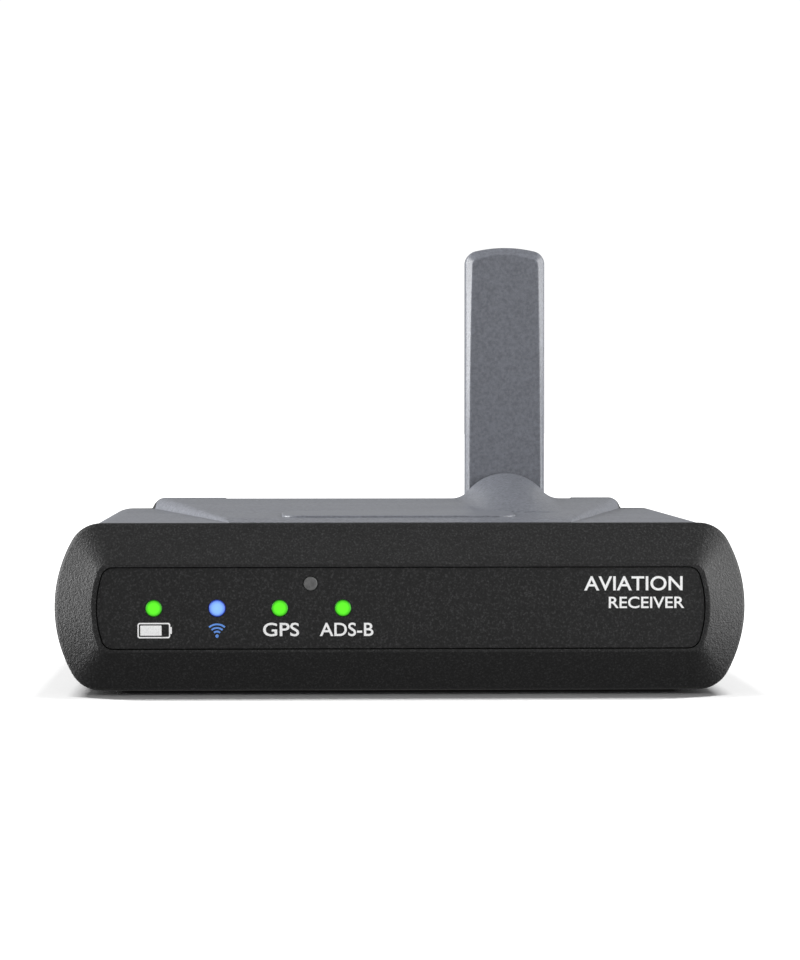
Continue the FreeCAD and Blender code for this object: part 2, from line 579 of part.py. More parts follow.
def usb_port():
    """A small socket: a folded metal shell with a narrower lower half, and its tongue."""
    y0, y1 = MAIN_BOARD_Y1 - 1.6, BACK - 0.7
    wall = 0.3

    def profile(inset, y):
        half, low = USB_HALF_W - inset, USB_Z - USB_H / 2 + inset
        high, waist = USB_Z + USB_H / 2 - inset, USB_Z
        points = [(-half, high), (half, high), (half, waist), (half - 1.0, low), (-half + 1.0, low), (-half, waist)]
        corners = [FreeCAD.Vector(USB_X + x, y, z) for x, z in points]
        return Part.makePolygon(corners + corners[:1])

    shell = prism(profile(0, y0), y1 - y0).cut(prism(profile(wall, y0 + 0.8), y1 - y0))
    tongue = box(USB_X - 1.9, USB_X + 1.9, y0 + 0.5, y1 - 0.9, USB_Z + 0.1, USB_Z + 0.7)
    return join(shell, tongue)


def antenna_jack(x):
    """A coaxial socket: a square foot on the board, a round barrel and the contact at the bottom of its bore."""
    half = 3.1
    body = box(x - half, x + half, BACK - 12.5, BACK - 6.5, BOARD_TOP, BOARD_TOP + 2 * half)
    jack = body.fuse(rod_y(x, JACK_Z, JACK_BARREL_R, BACK - 7.0, JACK_FACE_Y))
    jack = jack.cut(rod_y(x, JACK_Z, JACK_BORE_R, JACK_FACE_Y - JACK_BORE_L, BACK + 1))
    return jack.cut(rod_y(x, JACK_Z, 0.4, JACK_FACE_Y - JACK_BORE_L - 1.5, BACK)).removeSplitter()


def power_button():
    """The cap shows at the back; its collar keeps it in and its stem reaches the switch."""
    cap_y = BACK + BUTTON_PROUD - REAR_PANEL_SINK
    cap = rod_y(BUTTON_X, BUTTON_Z, BUTTON_R, REAR_INSIDE_Y - 0.5, cap_y)
    cap = cap.makeFillet(0.4, edges_at_y(cap, cap_y))
    collar = rod_y(BUTTON_X, BUTTON_Z, BUTTON_R + 0.8, REAR_INSIDE_Y - 1.0, REAR_INSIDE_Y - 0.1)
    stem = rod_y(BUTTON_X, BUTTON_Z, 1.2, PLUNGER_Y, REAR_INSIDE_Y - 0.9)
    return join(cap, collar, stem)


PLUNGER_Y = BACK - 4.8
SWITCH_Y0, SWITCH_Y1 = BACK - 10.1, BACK - 6.1


def switch_plunger():
    return rod_y(BUTTON_X, BUTTON_Z, 0.9, SWITCH_Y1 - 0.6, PLUNGER_Y)


def power_switch():
    body = box(BUTTON_X - 3, BUTTON_X + 3, SWITCH_Y0, SWITCH_Y1, BOARD_TOP, BUTTON_Z + 2.6)
    return body.cut(rod_y(BUTTON_X, BUTTON_Z, 1.0, SWITCH_Y1 - 0.6 - BUTTON_TRAVEL - 0.15, SWITCH_Y1 + 1))


# ---- Boards and battery ----


GPS_BOARD_Z, GPS_BOARD_T = 24.0, 1.0
GPS_X, GPS_Y = -27.0, -2.0
GPS_POSTS = ((GPS_X - 16.0, GPS_Y), (GPS_X + 16.0, GPS_Y))
BRACKET_SCREWS = ((PIVOT_X - 7.0, PIVOT_Z - 6.6), (PIVOT_X + 7.0, PIVOT_Z - 6.6))


def main_board():
    """An L round the battery bay, cut back round the case's posts."""
    right = box(2.0, 55.0, MAIN_BOARD_Y0, MAIN_BOARD_Y1, BOARD_Z, BOARD_TOP)
    left = box(-55.0, 3.0, 20.4, MAIN_BOARD_Y1, BOARD_Z, BOARD_TOP)
    board = right.fuse(left)
    for x in (-POST_X, POST_X):
        for y in (-POST_Y, POST_Y):
            board = board.cut(rod_z(x, y, POST_R + 0.5, BOARD_Z - 1, BOARD_TOP + 1))
    for x, y in BOARD_SCREWS:
        board = board.cut(rod_z(x, y, 0.9, BOARD_Z - 1, BOARD_TOP + 1))
    return board.removeSplitter()


def board_screws():
    made = []
    for x, y in BOARD_SCREWS:
        head = rod_z(x, y, 1.6, BOARD_TOP, BOARD_TOP + 1.0)
        head = head.cut(box(x - 1.7, x + 1.7, y - 0.25, y + 0.25, BOARD_TOP + 0.6, BOARD_TOP + 2))
        made.append(join(head, rod_z(x, y, 0.7, FLOOR_Z + 0.4, BOARD_TOP)))
    return group(made)


def receiver_shield():
    """A drawn metal can with a stiffening step in its lid."""
    can = rounded_box(13.0, 43.0, -20.0, 6.0, BOARD_TOP, BOARD_TOP + 3.6, 1.0)
    lid = rounded_box(14.5, 41.5, -18.5, 4.5, BOARD_TOP + 3.6, BOARD_TOP + 4.0, 0.8)
    return join(can.cut(rounded_box(13.4, 42.6, -19.6, 5.6, BOARD_TOP - 1, BOARD_TOP + 3.2, 0.6)), lid)


def board_chips():
    """Chips, small parts in a row, three round capacitors and the ribbon's socket."""
    made = [box(14.0 + 7 * i, 19.0 + 7 * i, 10.0, 15.0, BOARD_TOP, BOARD_TOP + 1.2) for i in range(2)]
    made += [box(-40.0 + 5 * i, -37.2 + 5 * i, 23.0, 25.4, BOARD_TOP, BOARD_TOP + 1.6) for i in range(8)]
    made += [rod_z(47.5, 10.0 + 5 * i, 1.8, BOARD_TOP, BOARD_TOP + 3.0) for i in range(3)]
    y = MAIN_BOARD_Y0 + 3.4
    socket = box(1.4, 7.6, y, y + 3.6, BOARD_TOP, BOARD_TOP + 1.9)
    made.append(socket.cut(box(1.9, 7.1, y - 0.4, y + 1.8, BOARD_TOP + 0.85, BOARD_TOP + 1.15)))
    return group(made)


def aerial_socket(x, y):
    return join(box(x - 1.3, x + 1.3, y - 1.3, y + 1.3, BOARD_TOP, BOARD_TOP + 0.4),
                rod_z(x, y, 1.0, BOARD_TOP + 0.4, BOARD_TOP + 1.1))


def wireless_module():
    board = box(45.0, 54.5, -9.0, 3.0, BOARD_TOP, BOARD_TOP + 0.8)
    return join(board, rounded_box(45.8, 53.7, -8.2, -0.4, BOARD_TOP + 0.8, BOARD_TOP + 2.4, 0.5))


def battery_pack():
    """A flat lithium cell pack with rounded long sides, standing just off the door."""
    low = FLOOR_Z + 0.1
    return rounded_box(BATTERY_X0, BATTERY_X1, BATTERY_Y0, BATTERY_Y1, low, low + BATTERY_H, 3.0, "y")


def battery_socket():
    return box(4.0, 9.0, 6.5, 11.5, BOARD_TOP, BOARD_TOP + 3.4).cut(
        box(3.0, 6.5, 7.4, 10.6, BOARD_TOP + 0.8, BOARD_TOP + 2.8))


def gps_board():
    board = box(GPS_X - 18.5, GPS_X + 18.5, GPS_Y - 13.5, GPS_Y + 13.5, GPS_BOARD_Z, GPS_BOARD_Z + GPS_BOARD_T)
    for x, y in GPS_POSTS:
        board = board.cut(rod_z(x, y, 0.9, GPS_BOARD_Z - 1, GPS_BOARD_Z + 2))
    return board


def gps_patch():
    """The ceramic patch aerial, with its silvered square on top."""
    low = GPS_BOARD_Z + GPS_BOARD_T
    tile = rounded_box(GPS_X - 12.5, GPS_X + 12.5, GPS_Y - 12.5, GPS_Y + 12.5, low, low + 3.9, 0.6)
    square = box(GPS_X - 9.5, GPS_X + 9.5, GPS_Y - 9.5, GPS_Y + 9.5, low + 3.9, low + 4.05)
    corner = box(GPS_X + 8.0, GPS_X + 9.6, GPS_Y + 8.0, GPS_Y + 9.6, low + 3.8, low + 4.2)
    return join(tile, square.cut(corner))


def gps_board_screws():
    made = []
    for x, y in GPS_POSTS:
        head = rod_z(x, y, 1.5, GPS_BOARD_Z - 0.9, GPS_BOARD_Z)
        head = head.cut(box(x - 1.6, x + 1.6, y - 0.25, y + 0.25, GPS_BOARD_Z - 1, GPS_BOARD_Z - 0.5))
        made.append(join(head, rod_z(x, y, 0.7, GPS_BOARD_Z, CEILING_Z)))
    return group(made)


def lead(points, radius, bend_r):
    """A round wire along straight runs joined by tangent arcs."""
    route = [FreeCAD.Vector(*p) for p in points]
    edges = []
    start = route[0]
    for before, corner, after in zip(route, route[1:], route[2:]):
        back = (before - corner).normalize()
        on = (after - corner).normalize()
        half = back.getAngle(on) / 2
        reach = bend_r / math.tan(half)
        into, out = corner + back * reach, corner + on * reach
        bisector = (back + on).normalize()
        middle = corner + bisector * (bend_r / math.sin(half) - bend_r)
        edges.append(Part.makeLine(start, into))
        edges.append(Part.Arc(into, middle, out).toShape())
        start = out
    edges.append(Part.makeLine(start, route[-1]))
    along = (route[1] - route[0]).normalize()
    ring = Part.Wire([Part.makeCircle(radius, route[0], along)])
    return Part.Wire(edges).makePipeShell([ring], True, True)


AERIAL_SOCKET = (PIVOT_X + 3.0, 19.0)
GPS_SOCKET = (5.5, 16.0)


def antenna_lead():
    """The coaxial lead, from inside the hollow spindle down to the main board."""
    x, y = AERIAL_SOCKET
    points = [(PIVOT_X, BLADE_FRONT + 0.6, PIVOT_Z), (PIVOT_X, y + 1.0, PIVOT_Z), (x, y, PIVOT_Z - 8),
              (x, y, BOARD_TOP + 1.1)]
    return lead(points, 0.6, 3.0)


def gps_lead():
    x = GPS_X + 14.5
    end_x, end_y = GPS_SOCKET
    points = [(x, GPS_Y + 9.0, GPS_BOARD_Z), (x, GPS_Y + 9.0, 18.0), (end_x, end_y, 15.0),
              (end_x, end_y, BOARD_TOP + 1.1)]
    return lead(points, 0.6, 2.0)


def battery_leads():
    high, low = FLOOR_Z + 8.0, BOARD_TOP + 1.8
    return group([lead([(BATTERY_X1, y, high), (-3.0, y, high), (1.5, y, low), (6.4, y, low)], 0.55, 1.4)
                  for y in (8.3, 9.7)])


# ---- Antenna and its hinge ----


def blade_outline(root_inset, middle_inset, tip_inset, y):
    """The blade's outline, or one inside it: round about the pivot, almost straight sides and an arched tip."""
    root_w, half_w = BLADE_HALF_W - root_inset, BLADE_HALF_W - tip_inset
    middle_w = BLADE_HALF_W - middle_inset
    tip_z = BLADE_TIP_Z - tip_inset
    corner_r = max(BLADE_CORNER_R - tip_inset, BLADE_LEAST_R)
    tip_r = (half_w**2 + BLADE_TIP_RISE**2) / (2 * BLADE_TIP_RISE)
    centre_z = tip_z - tip_r
    corner_x = half_w - corner_r
    corner_z = centre_z + math.sqrt((tip_r - corner_r) ** 2 - corner_x**2)
    lean = math.atan2(corner_x, corner_z - centre_z)
    touch = (tip_r * math.sin(lean), centre_z + tip_r * math.cos(lean))
    halfway = (math.pi / 2 - lean) / 2
    middle = (corner_x + corner_r * math.cos(halfway), corner_z + corner_r * math.sin(halfway))
    middle_z = (PIVOT_Z + corner_z) / 2

    def at(x, z):
        return FreeCAD.Vector(PIVOT_X + x, y, z)

    def side(sign):
        if root_inset == middle_inset == tip_inset:
            return Part.LineSegment(at(sign * root_w, PIVOT_Z), at(sign * half_w, corner_z))
        return Part.Arc(at(sign * root_w, PIVOT_Z), at(sign * middle_w, middle_z), at(sign * half_w, corner_z))

    edges = [Part.Arc(at(root_w, PIVOT_Z), at(0, PIVOT_Z - root_w), at(-root_w, PIVOT_Z))]
    edges.append(side(-1))
    edges.append(Part.Arc(at(-half_w, corner_z), at(-middle[0], middle[1]), at(-touch[0], touch[1])))
    edges.append(Part.Arc(at(-touch[0], touch[1]), at(0, tip_z), at(*touch)))
    edges.append(Part.Arc(at(*touch), at(*middle), at(half_w, corner_z)))
    edges.append(side(1))
    return Part.Wire([e.toShape() for e in edges])


BLADE_JOINT_Y = (BLADE_FRONT + BLADE_BACK) / 2
SHELL_GAP = 0.05  # half of the joint between the two shells


def bevelled_blade(y_face, y_joint):
    """Half of the blade, with a bevel round its face that is wider at the tip than at the root."""
    rim_y = y_face + math.copysign(BLADE_EDGE_D, y_joint - y_face)
    solid = prism(blade_outline(0, 0, 0, min(rim_y, y_joint)), abs(y_joint - rim_y))
    face = blade_outline(BLADE_EDGE_ROOT, BLADE_EDGE_MIDDLE, BLADE_EDGE_TIP, y_face)
    bevel = Part.makeLoft([blade_outline(0, 0, 0, rim_y), face], True, True)
    solid = join(solid, bevel)
    solid = solid.makeFillet(BLADE_EDGE_R, edges_at_y(solid, rim_y))
    return solid.makeFillet(BLADE_FACE_R, edges_at_y(solid, y_face))


def blade_cavity(y0, y1):
    inset = BLADE_WALL + 0.5
    return prism(blade_outline(inset, inset, inset, y0), y1 - y0)


def antenna_front_shell():
    shell = bevelled_blade(BLADE_FRONT, BLADE_JOINT_Y - SHELL_GAP)
    inner_y = BLADE_FRONT + BLADE_WALL
    shell = shell.cut(blade_cavity(inner_y, BLADE_JOINT_Y))
    return shell.cut(rod_y(PIVOT_X, PIVOT_Z, SPINDLE_R + 0.02, BLADE_FRONT - 1, inner_y + 1))


def antenna_rear_shell():
    shell = bevelled_blade(BLADE_BACK, BLADE_JOINT_Y + SHELL_GAP)
    return shell.cut(blade_cavity(BLADE_JOINT_Y, BLADE_BACK - BLADE_WALL))


def antenna_element():
    """A strip of board with a meandering conductor, fed at its lower end."""
    y = BLADE_JOINT_Y
    board = box(PIVOT_X - 5.0, PIVOT_X + 5.0, y - 0.4, y + 0.4, PIVOT_Z + 6.0, BLADE_TIP_Z - 4.0)
    low, pitch, count = PIVOT_Z + 9.0, 3.0, 13
    track = [box(PIVOT_X - 4.0, PIVOT_X + 4.0, y - 0.5, y - 0.4, low + pitch * i, low + pitch * i + 0.8)
             for i in range(count)]
    for i in range(count - 1):
        x = PIVOT_X + (3.2 if i % 2 else -4.0)
        track.append(box(x, x + 0.8, y - 0.5, y - 0.4, low + pitch * i, low + pitch * (i + 1)))
    return join(board, *track)


def antenna_feed():
    """The short wire from the hollow spindle up to the foot of the element, on its front."""
    y = BLADE_JOINT_Y - 0.92
    start = (PIVOT_X, BLADE_FRONT + 1.2, PIVOT_Z)
    return lead([start, (PIVOT_X, y, PIVOT_Z), (PIVOT_X, y, PIVOT_Z + 8.0)], 0.4, 0.9)


def antenna_spindle():
    """A hollow spindle: a flange inside the blade, a journal in the bush and a thinner threaded end."""
    flange_y = BLADE_FRONT + BLADE_WALL
    spindle = rod_y(PIVOT_X, PIVOT_Z, SPINDLE_R, SPINDLE_SHOULDER_Y, flange_y)
    spindle = spindle.fuse(rod_y(PIVOT_X, PIVOT_Z, SPINDLE_NECK_R, SPINDLE_END_Y, SPINDLE_SHOULDER_Y))
    spindle = spindle.fuse(rod_y(PIVOT_X, PIVOT_Z, 4.8, flange_y, flange_y + 0.6))
    return spindle.cut(rod_y(PIVOT_X, PIVOT_Z, SPINDLE_BORE_R, SPINDLE_END_Y - 1, BLADE_BACK)).removeSplitter()


BRACKET_Y1 = CHANNEL_Y0 - WALL
BRACKET_Y0 = BRACKET_Y1 - BRACKET_T


def hinge_bush():
    """A flanged plastic bush through the channel's wall and the bracket."""
    bush = rod_y(PIVOT_X, PIVOT_Z, BUSH_R, BRACKET_Y0, CHANNEL_Y0)
    bush = bush.fuse(rod_y(PIVOT_X, PIVOT_Z, 5.6, CHANNEL_Y0, BLADE_FRONT - 0.1))
    return bush.cut(rod_y(PIVOT_X, PIVOT_Z, SPINDLE_R + RUNNING_GAP, BRACKET_Y0 - 1, BLADE_FRONT)).removeSplitter()


def hinge_bracket():
    """A steel plate behind the channel's wall that carries the bush and the stop pin."""
    low = rounded_box(PIVOT_X - 9.2, PIVOT_X + 9.2, BRACKET_Y0, BRACKET_Y1, PIVOT_Z - 8.8, PIVOT_Z - 4.4, 1.5, "y")
    web = box(PIVOT_X - 6.4, PIVOT_X + 6.4, BRACKET_Y0, BRACKET_Y1, PIVOT_Z - 5.0, PIVOT_Z)
    plate = join(low, web, rod_y(PIVOT_X, PIVOT_Z, 6.4, BRACKET_Y0, BRACKET_Y1))
    plate = plate.cut(rod_y(PIVOT_X, PIVOT_Z, BUSH_R, BRACKET_Y0 - 1, BRACKET_Y1 + 1))
    plate = plate.cut(stop_pin_rod(BRACKET_Y0 - 1, BRACKET_Y1 + 1))
    for x, z in BRACKET_SCREWS:
        plate = plate.cut(rod_y(x, z, 0.85, BRACKET_Y0 - 1, BRACKET_Y1 + 1))
    return plate


def bracket_screws():
    made = []
    for x, z in BRACKET_SCREWS:
        head = rod_y(x, z, 1.5, BRACKET_Y0 - 0.9, BRACKET_Y0)
        head = head.cut(box(x - 1.6, x + 1.6, BRACKET_Y0 - 1, BRACKET_Y0 - 0.5, z - 0.25, z + 0.25))
        made.append(join(head, rod_y(x, z, 0.7, BRACKET_Y0, CHANNEL_Y0 - 0.4)))
    return group(made)


def stop_pin_rod(y0, y1):
    angle = math.radians(STOP_PIN_ANGLE)
    x, z = PIVOT_X + STOP_PIN_AT * math.cos(angle), PIVOT_Z + STOP_PIN_AT * math.sin(angle)
    return rod_y(x, z, STOP_PIN_R, y0, y1)


RING_Y1 = BRACKET_Y0 - 0.1
RING_Y0 = RING_Y1 - STOP_RING_T


def stop_pin():
    return stop_pin_rod(RING_Y0 + 0.1, BRACKET_Y1)


def stop_ring():
    """Turns with the spindle. The pin runs in its slot, whose ends stop the blade upright and folded."""
    ring = rod_y(PIVOT_X, PIVOT_Z, STOP_RING_R, RING_Y0, RING_Y1)
    ring = ring.cut(rod_y(PIVOT_X, PIVOT_Z, SPINDLE_R + 0.02, RING_Y0 - 1, RING_Y1 + 1))
    clearance = 0.12
    width = STOP_PIN_R + clearance
    margin = math.degrees(clearance / STOP_PIN_AT)
    first, last = STOP_PIN_ANGLE - FOLD_ANGLE - margin, STOP_PIN_ANGLE + margin
    axis = FreeCAD.Vector(0, -1, 0)
    centre = FreeCAD.Vector(PIVOT_X, RING_Y0 - 1, PIVOT_Z)
    length = STOP_RING_T + 2
    sector = Part.Face(arc_slot(first, last, width, centre)).extrude(FreeCAD.Vector(0, length, 0))
    return ring.cut(sector)


def arc_slot(first, last, width, centre):
    """A slot of constant width bent round the pivot, between two angles in degrees."""

    def at(radius, degrees):
        angle = math.radians(degrees)
        return centre + FreeCAD.Vector(radius * math.cos(angle), 0, radius * math.sin(angle))

    def end(degrees, ahead):
        """The outermost point of a round end."""
        middle = at(STOP_PIN_AT, degrees)
        along = math.radians(degrees + ahead)
        return middle + FreeCAD.Vector(width * math.cos(along), 0, width * math.sin(along))

    inner, outer = STOP_PIN_AT - width, STOP_PIN_AT + width
    middle = (first + last) / 2
    edges = [Part.Arc(at(inner, first), at(inner, middle), at(inner, last))]
    edges.append(Part.Arc(at(inner, last), end(last, 90), at(outer, last)))
    edges.append(Part.Arc(at(outer, last), at(outer, middle), at(outer, first)))
    edges.append(Part.Arc(at(outer, first), end(first, -90), at(inner, first)))
    return Part.Wire([e.toShape() for e in edges])


def spring_washer():
    """A dished washer that presses the stop ring against the bracket."""
    y0, y1, t = SPINDLE_SHOULDER_Y, RING_Y0, 0.45
    points = [(3.12, y0), (3.12, y0 + t), (5.2, y1), (5.2, y1 - t)]
    corners = [FreeCAD.Vector(PIVOT_X + r, y, PIVOT_Z) for r, y in points]
    face = Part.Face(Part.makePolygon(corners + corners[:1]))
    return face.revolve(FreeCAD.Vector(PIVOT_X, 0, PIVOT_Z), FreeCAD.Vector(0, 1, 0), 360)


def spindle_washer():
    washer = rod_y(PIVOT_X, PIVOT_Z, 4.9, SPINDLE_SHOULDER_Y - 0.5, SPINDLE_SHOULDER_Y)
    return washer.cut(rod_y(PIVOT_X, PIVOT_Z, SPINDLE_NECK_R + 0.05, 0, BACK))


def spindle_nut():
    """A hexagon nut, 7 mm across its flats."""
    y0, y1 = SPINDLE_SHOULDER_Y - 3.1, SPINDLE_SHOULDER_Y - 0.5
    corner_r = 3.5 / math.cos(math.pi / 6)
    corners = [FreeCAD.Vector(PIVOT_X + corner_r * math.cos(math.radians(60 * i)), y0,
                              PIVOT_Z + corner_r * math.sin(math.radians(60 * i))) for i in range(6)]
    nut = prism(Part.makePolygon(corners + corners[:1]), y1 - y0)
    return nut.cut(rod_y(PIVOT_X, PIVOT_Z, SPINDLE_NECK_R + 0.02, y0 - 1, y1 + 1))


def build():
    """Every sub-part by its node's name."""
    parts = {
        "front_bezel": front_bezel(),
        "front_panel": front_panel(),
        "light_sensor_window": lens(SENSOR_X, SENSOR_Z, SENSOR_R, 0.0),
        "led_board": led_board(),
        "status_leds": status_leds(),
        "led_board_screws": led_board_screws(),
        "led_flex": led_flex(),
        "top_cover": top_cover(),
        "top_nameplate": top_nameplate(),
        "bottom_case": bottom_case(),
        "front_foot": rubber_foot(FOOT_Y[0]),
        "rear_foot": rubber_foot(FOOT_Y[1]),
        "battery_door": battery_door(),
        "battery_door_screws": door_screws(),
        "case_screws": case_screws(),
        "rear_cover": rear_cover(),
        "usb_port": usb_port(),
        "power_button": power_button(),
        "switch_plunger": switch_plunger(),
        "power_switch": power_switch(),
        "main_board": main_board(),
        "board_screws": board_screws(),
        "receiver_shield": receiver_shield(),
        "board_chips": board_chips(),
        "aerial_sockets": group([aerial_socket(*AERIAL_SOCKET), aerial_socket(*GPS_SOCKET)]),
        "wireless_module": wireless_module(),
        "battery_pack": battery_pack(),
        "battery_socket": battery_socket(),
        "battery_leads": battery_leads(),
        "gps_board": gps_board(),
        "gps_patch": gps_patch(),
        "gps_board_screws": gps_board_screws(),
        "gps_lead": gps_lead(),
        "antenna_lead": antenna_lead(),
        "hinge_bracket": hinge_bracket(),
        "hinge_bush": hinge_bush(),
        "bracket_screws": bracket_screws(),
        "stop_pin": stop_pin(),
        "antenna_front_shell": antenna_front_shell(),
        "antenna_rear_shell": antenna_rear_shell(),
        "antenna_element": antenna_element(),
        "antenna_feed": antenna_feed(),
        "antenna_spindle": antenna_spindle(),
        "stop_ring": stop_ring(),
        "spring_washer": spring_washer(),
        "spindle_washer": spindle_washer(),
        "spindle_nut": spindle_nut(),
    }
    for name, x in LAMP_X.items():
        parts[name] = lens(x, LAMP_Z, LAMP_R, 0.12)
    for name, x in JACK_X.items():
        parts[name] = antenna_jack(x)
    return parts


def main():
    os.makedirs("parts", exist_ok=True)
    for name, shape in build().items():
        if not shape.isValid() or not shape.Solids or shape.Volume <= 0:
            raise ValueError(f"{name} is not a valid solid")
        shape.exportStep(f"parts/{name}.step")


main()
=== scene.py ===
"""Looks of a portable aviation GPS receiver with a folding antenna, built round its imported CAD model."""
import json
import math

import bmesh
import bpy
from mathutils import Matrix, Vector


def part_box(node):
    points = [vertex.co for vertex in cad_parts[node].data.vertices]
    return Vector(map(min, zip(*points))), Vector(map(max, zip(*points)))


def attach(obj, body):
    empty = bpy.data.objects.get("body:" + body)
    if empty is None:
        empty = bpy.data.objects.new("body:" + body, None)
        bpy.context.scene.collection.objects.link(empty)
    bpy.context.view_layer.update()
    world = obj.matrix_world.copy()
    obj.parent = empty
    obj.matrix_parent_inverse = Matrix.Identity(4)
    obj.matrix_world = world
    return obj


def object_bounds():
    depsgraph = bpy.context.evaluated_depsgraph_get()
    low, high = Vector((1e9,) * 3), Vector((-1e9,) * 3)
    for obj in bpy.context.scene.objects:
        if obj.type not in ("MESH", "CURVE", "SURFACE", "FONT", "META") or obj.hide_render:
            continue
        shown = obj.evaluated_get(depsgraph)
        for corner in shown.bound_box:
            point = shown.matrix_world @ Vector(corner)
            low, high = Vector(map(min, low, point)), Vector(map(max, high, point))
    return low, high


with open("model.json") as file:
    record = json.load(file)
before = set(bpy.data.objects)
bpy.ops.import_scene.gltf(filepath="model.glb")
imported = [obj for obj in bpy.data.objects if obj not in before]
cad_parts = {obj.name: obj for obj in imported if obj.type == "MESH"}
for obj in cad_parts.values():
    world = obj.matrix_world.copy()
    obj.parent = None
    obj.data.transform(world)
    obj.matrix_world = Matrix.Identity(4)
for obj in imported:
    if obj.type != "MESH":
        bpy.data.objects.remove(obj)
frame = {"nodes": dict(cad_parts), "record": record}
CAD_BOUNDS = [list(corner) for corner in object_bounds()]

MM = 0.001
NODES = frame["nodes"]


# ---- Places taken from the frame ----


def low_high(node):
    """The node's lowest and highest corners, as vectors."""
    low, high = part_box(node)
    return Vector(low), Vector(high)


def middle(node):
    low, high = low_high(node)
    return (low + high) / 2


PANEL_LOW, PANEL_HIGH = low_high("front_panel")
CASE_FRONT_Y = CAD_BOUNDS[0][1]
LAMPS = ("lens_battery", "lens_link", "lens_gps", "lens_traffic")
LENS_RADIUS = 1.5 * MM


# ---- Materials ----


class Shader:
    """A small helper that builds one node-based material on a Principled shader."""

    def __init__(self, name, color, roughness, **inputs):
        self.material = bpy.data.materials.new(name)
        self.material.use_nodes = True
        self.nodes = self.material.node_tree.nodes
        self.links = self.material.node_tree.links
        self.bsdf = self.nodes["Principled BSDF"]
        self.bsdf.inputs["Base Color"].default_value = (*color, 1)
        self.bsdf.inputs["Roughness"].default_value = roughness
        for key, value in inputs.items():
            self.bsdf.inputs[key.replace("_", " ")].default_value = value
        self.coords = self.add("ShaderNodeTexCoord").outputs["Object"]
        self.normal = None

    def add(self, kind, **values):
        node = self.nodes.new(kind)
        for key, value in values.items():
            setattr(node, key, value)
        return node

    def link(self, source, target):
        self.links.new(source, target)

    def noise(self, per_metre, detail=2.0, rough=0.5):
        """Noise whose grains are about 1 / per_metre across."""
        node = self.add("ShaderNodeTexNoise")
        node.inputs["Scale"].default_value = per_metre
        node.inputs["Detail"].default_value = detail
        node.inputs["Roughness"].default_value = rough
        self.link(self.coords, node.inputs["Vector"])
        return node.outputs["Fac"]

    def cells(self, per_metre):
        """Distance to the nearest of scattered points, about 1 / per_metre apart."""
        node = self.add("ShaderNodeTexVoronoi", feature="F1")
        node.inputs["Scale"].default_value = per_metre
        self.link(self.coords, node.inputs["Vector"])
        return node.outputs["Distance"]

    def spread(self, source, low, high, from_low=0.3, from_high=0.7):
        """Maps a source to the range low to high."""
        node = self.add("ShaderNodeMapRange")
        ends = {"From Min": from_low, "From Max": from_high, "To Min": low, "To Max": high}
        for key, value in ends.items():
            node.inputs[key].default_value = value
        self.link(source, node.inputs["Value"])
        return node.outputs["Result"]

    def ramp(self, source, stops):
        """Colours along a source: (place, colour) pairs."""
        node = self.add("ShaderNodeValToRGB")
        elements = node.color_ramp.elements
        while len(elements) < len(stops):
            elements.new(0.5)
        for element, (place, color) in zip(elements, stops):
            element.position = place
            element.color = (*color, 1)
        self.link(source, node.inputs["Fac"])
        return node.outputs["Color"]

    def mix(self, source, first, second):
        """Blends two plain colours by a source."""
        return self.ramp(source, ((0.0, first), (1.0, second)))

    def bump(self, source, height_mm, strength):
        """Adds relief; several stack on each other."""
        node = self.add("ShaderNodeBump")
        node.inputs["Strength"].default_value = strength
        node.inputs["Distance"].default_value = height_mm * MM
        self.link(source, node.inputs["Height"])
        if self.normal:
            self.link(self.normal, node.inputs["Normal"])
        self.normal = node.outputs["Normal"]
        self.link(self.normal, self.bsdf.inputs["Normal"])

    def set(self, name, source):
        """Feeds a source to an input of the shader."""
        self.link(source, self.bsdf.inputs[name])


def scaled(color, factor):
    """A colour made darker or lighter, no brighter than 1."""
    return tuple(min(1, c * factor) for c in color)


def blend(first, second, share):
    """A colour that is mostly the first, with a share of the second."""
    return tuple(f * (1 - share) + g * share for f, g in zip(first, second))


def eroded_black(name, color, grain_mm, relief_mm, roughness, speck_glint_gain):
    """Moulded black plastic with a spark-eroded grain; its paler specks are partly random tone and partly
    painted glints.
    """
    s = Shader(name, color, roughness, Specular_IOR_Level=0.30)
    grain = s.noise(1 / (grain_mm * MM), 3.0, 0.62)
    broad = s.noise(55.0, 2.0)
    specks = s.cells(0.75 / (grain_mm * MM))
    dark, pale = scaled(color, 0.45), scaled(color, speck_glint_gain)
    # painted glints: where the grain is high the base colour turns several times paler than the black
    s.set("Base Color", s.ramp(grain, ((0.30, dark), (0.52, color), (0.74, pale))))
    s.set("Roughness", s.spread(broad, roughness - 0.04, roughness + 0.05))
    s.bump(specks, relief_mm * 0.6, 0.5)
    s.bump(grain, relief_mm, 0.9)
    return s.material


def case_black():
    return eroded_black("case_black", (0.0100, 0.0100, 0.0102), 0.34, 0.11, 0.48, 4.0)


def panel_black():
    return eroded_black("panel_black", (0.0090, 0.0090, 0.0092), 0.34, 0.075, 0.52, 4.6)


def bottom_black():
    return eroded_black("bottom_black", (0.0105, 0.0105, 0.0107), 0.40, 0.055, 0.52, 3.0)


def grey_paint(name, color, relief_mm, mottle):
    """Grey paint: a fine mottled tooth under a satin film that catches the lights along the edges."""
    s = Shader(name, color, 0.40, Specular_IOR_Level=0.42, Coat_Weight=0.20, Coat_Roughness=0.24)
    tooth = s.noise(1700.0, 3.0, 0.65)
    cloud = s.noise(40.0, 2.0)
    dark, light = scaled(color, 1 - mottle), scaled(color, 1 + mottle)
    s.set("Base Color", s.ramp(tooth, ((0.34, dark), (0.5, color), (0.68, light))))
    s.set("Roughness", s.spread(cloud, 0.37, 0.44))
    s.bump(tooth, relief_mm, 0.7)
    return s.material


def cover_grey():
    return grey_paint("cover_grey", (0.140, 0.147, 0.168), 0.06, 0.42)


